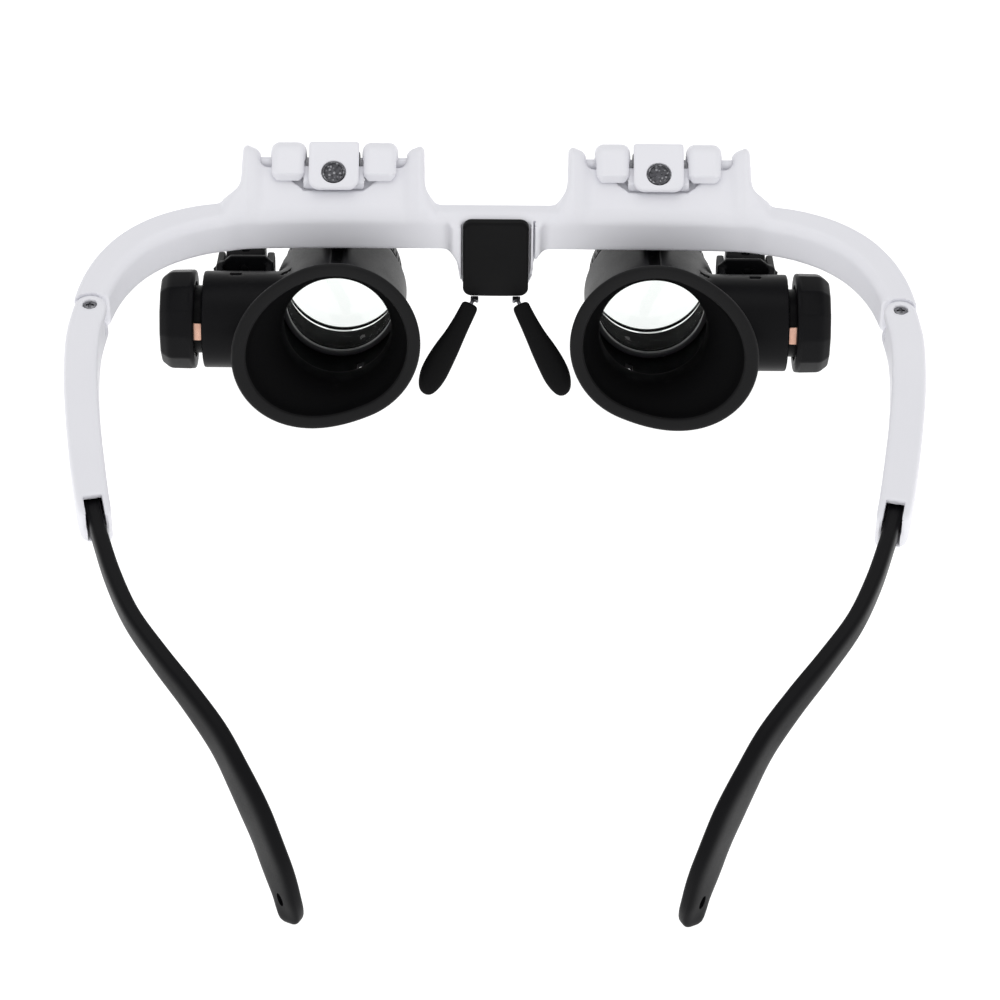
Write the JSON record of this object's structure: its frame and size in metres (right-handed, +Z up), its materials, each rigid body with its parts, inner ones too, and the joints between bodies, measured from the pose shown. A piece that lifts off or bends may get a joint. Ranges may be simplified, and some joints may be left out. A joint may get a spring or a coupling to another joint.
{
  "type": "glasses-type binocular magnifier",
  "caption": "Glasses-type binocular magnifier: white frame with folding, telescoping temples and flip-up black loupes, each with a rubber eyecup, a side battery tube and a small lamp.",
  "frame": {"origin": "bottom centre of the bounding box, on the surface that the loupes' front rims and the temple tips rest on", "axes": "+X to the wearer's right, +Y forward through the loupes, +Z up from the resting surface"},
  "size_m": [0.1736, 0.1846, 0.053],
  "materials": {
    "white_abs": "satin moulded ABS",
    "black_abs": "satin moulded ABS",
    "black_rubber": "matte moulded rubber",
    "steel": "plain, slightly dulled",
    "copper": "bright copper alloy",
    "nickel_cell": "nickel plated",
    "lens_glass": "polished, clear",
    "lamp_epoxy": "clear epoxy over a yellow die"
  },
  "bodies": {
    "frame": {"front_frame": "white_abs", "nose_block": "black_rubber", "nose_pad_wire_left": "steel", "nose_pad_wire_right": "steel", "hinge_rod_left": "white_abs", "hinge_rod_right": "white_abs"},
    "temple_left": {"temple_arm_left": "white_abs", "temple_hinge_screw_left": "steel"},
    "tip_left": {"temple_tip_left": "black_abs"},
    "nose_pad_left": {"nose_pad_left": "black_rubber"},
    "slider_left": {"slide_carriage_left": "white_abs", "clamp_plate_left": "white_abs", "clamp_screw_left": "steel"},
    "loupe_left": {"loupe_hanger_left": "black_abs", "loupe_body_left": "black_abs", "rear_lens_left": "lens_glass", "rear_lens_ring_left": "steel", "front_lens_holder_left": "black_abs", "front_lens_left": "lens_glass", "button_cell_1_left": "nickel_cell", "button_cell_2_left": "nickel_cell", "button_cell_3_left": "nickel_cell", "battery_spring_left": "steel", "contact_strip_left": "copper", "lamp_pin_left": "steel"},
    "eyecup_left": {"eyecup_left": "black_rubber"},
    "cap_left": {"battery_cap_left": "black_abs"},
    "lamp_left": {"lamp_housing_left": "black_abs", "lamp_left": "lamp_epoxy"},
    "temple_right": {"temple_arm_right": "white_abs", "temple_hinge_screw_right": "steel"},
    "tip_right": {"temple_tip_right": "black_abs"},
    "nose_pad_right": {"nose_pad_right": "black_rubber"},
    "slider_right": {"slide_carriage_right": "white_abs", "clamp_plate_right": "white_abs", "clamp_screw_right": "steel"},
    "loupe_right": {"loupe_hanger_right": "black_abs", "loupe_body_right": "black_abs", "rear_lens_right": "lens_glass", "rear_lens_ring_right": "steel", "front_lens_holder_right": "black_abs", "front_lens_right": "lens_glass", "button_cell_1_right": "nickel_cell", "button_cell_2_right": "nickel_cell", "button_cell_3_right": "nickel_cell", "battery_spring_right": "steel", "contact_strip_right": "copper", "lamp_pin_right": "steel"},
    "eyecup_right": {"eyecup_right": "black_rubber"},
    "cap_right": {"battery_cap_right": "black_abs"},
    "lamp_right": {"lamp_housing_right": "black_abs", "lamp_right": "lamp_epoxy"}
  },
  "joints": [
    {"name": "temple_fold_left", "type": "hinge", "parent": "frame", "child": "temple_left", "pos_m": [-0.08275, 0.03805, 0.03905], "axis": [0, 0, 1], "range_deg": [0, 70]},
    {"name": "temple_length_left", "type": "slide", "parent": "temple_left", "child": "tip_left", "axis": [0.2254, -0.9743, 0], "range_m": [0, 0.008]},
    {"name": "nose_pad_swivel_left", "type": "hinge", "parent": "frame", "child": "nose_pad_left", "pos_m": [-0.0052, 0.06345, 0.02365], "axis": [0, 1, 0], "range_deg": [-12, 12]},
    {"name": "pupil_slide_left", "type": "slide", "parent": "frame", "child": "slider_left", "axis": [1, 0, 0], "range_m": [-0.002, 0.002]},
    {"name": "loupe_flip_left", "type": "hinge", "parent": "slider_left", "child": "loupe_left", "pos_m": [-0.0342, 0.08055, 0.04745], "axis": [1, 0, 0], "range_deg": [0, 100]},
    {"name": "eyecup_turn_left", "type": "hinge", "parent": "loupe_left", "child": "eyecup_left", "pos_m": [-0.0334, 0.06025, 0.02145], "axis": [0, 0.9511, -0.309], "range_deg": [-25, 25]},
    {"name": "battery_cap_twist_left", "type": "hinge", "parent": "loupe_left", "child": "cap_left", "pos_m": [-0.0664, 0.06334, 0.01897], "axis": [1, 0, 0], "range_deg": [0, 40]},
    {"name": "lamp_tilt_left", "type": "hinge", "parent": "loupe_left", "child": "lamp_left", "pos_m": [-0.0538, 0.07929, 0.02115], "axis": [1, 0, 0], "range_deg": [-15, 15]},
    {"name": "temple_fold_right", "type": "hinge", "parent": "frame", "child": "temple_right", "pos_m": [0.08275, 0.03805, 0.03905], "axis": [0, 0, 1], "range_deg": [-70, 0]},
    {"name": "temple_length_right", "type": "slide", "parent": "temple_right", "child": "tip_right", "axis": [-0.2254, -0.9743, 0], "range_m": [0, 0.008]},
    {"name": "nose_pad_swivel_right", "type": "hinge", "parent": "frame", "child": "nose_pad_right", "pos_m": [0.0052, 0.06345, 0.02365], "axis": [0, 1, 0], "range_deg": [-12, 12]},
    {"name": "pupil_slide_right", "type": "slide", "parent": "frame", "child": "slider_right", "axis": [1, 0, 0], "range_m": [-0.002, 0.002]},
    {"name": "loupe_flip_right", "type": "hinge", "parent": "slider_right", "child": "loupe_right", "pos_m": [0.0342, 0.08055, 0.04745], "axis": [1, 0, 0], "range_deg": [0, 100]},
    {"name": "eyecup_turn_right", "type": "hinge", "parent": "loupe_right", "child": "eyecup_right", "pos_m": [0.0334, 0.06025, 0.02145], "axis": [0, 0.9511, -0.309], "range_deg": [-25, 25]},
    {"name": "battery_cap_twist_right", "type": "hinge", "parent": "loupe_right", "child": "cap_right", "pos_m": [0.0664, 0.06334, 0.01897], "axis": [1, 0, 0], "range_deg": [0, 40]},
    {"name": "lamp_tilt_right", "type": "hinge", "parent": "loupe_right", "child": "lamp_right", "pos_m": [0.0538, 0.07929, 0.02115], "axis": [1, 0, 0], "range_deg": [-15, 15]}
  ]
}
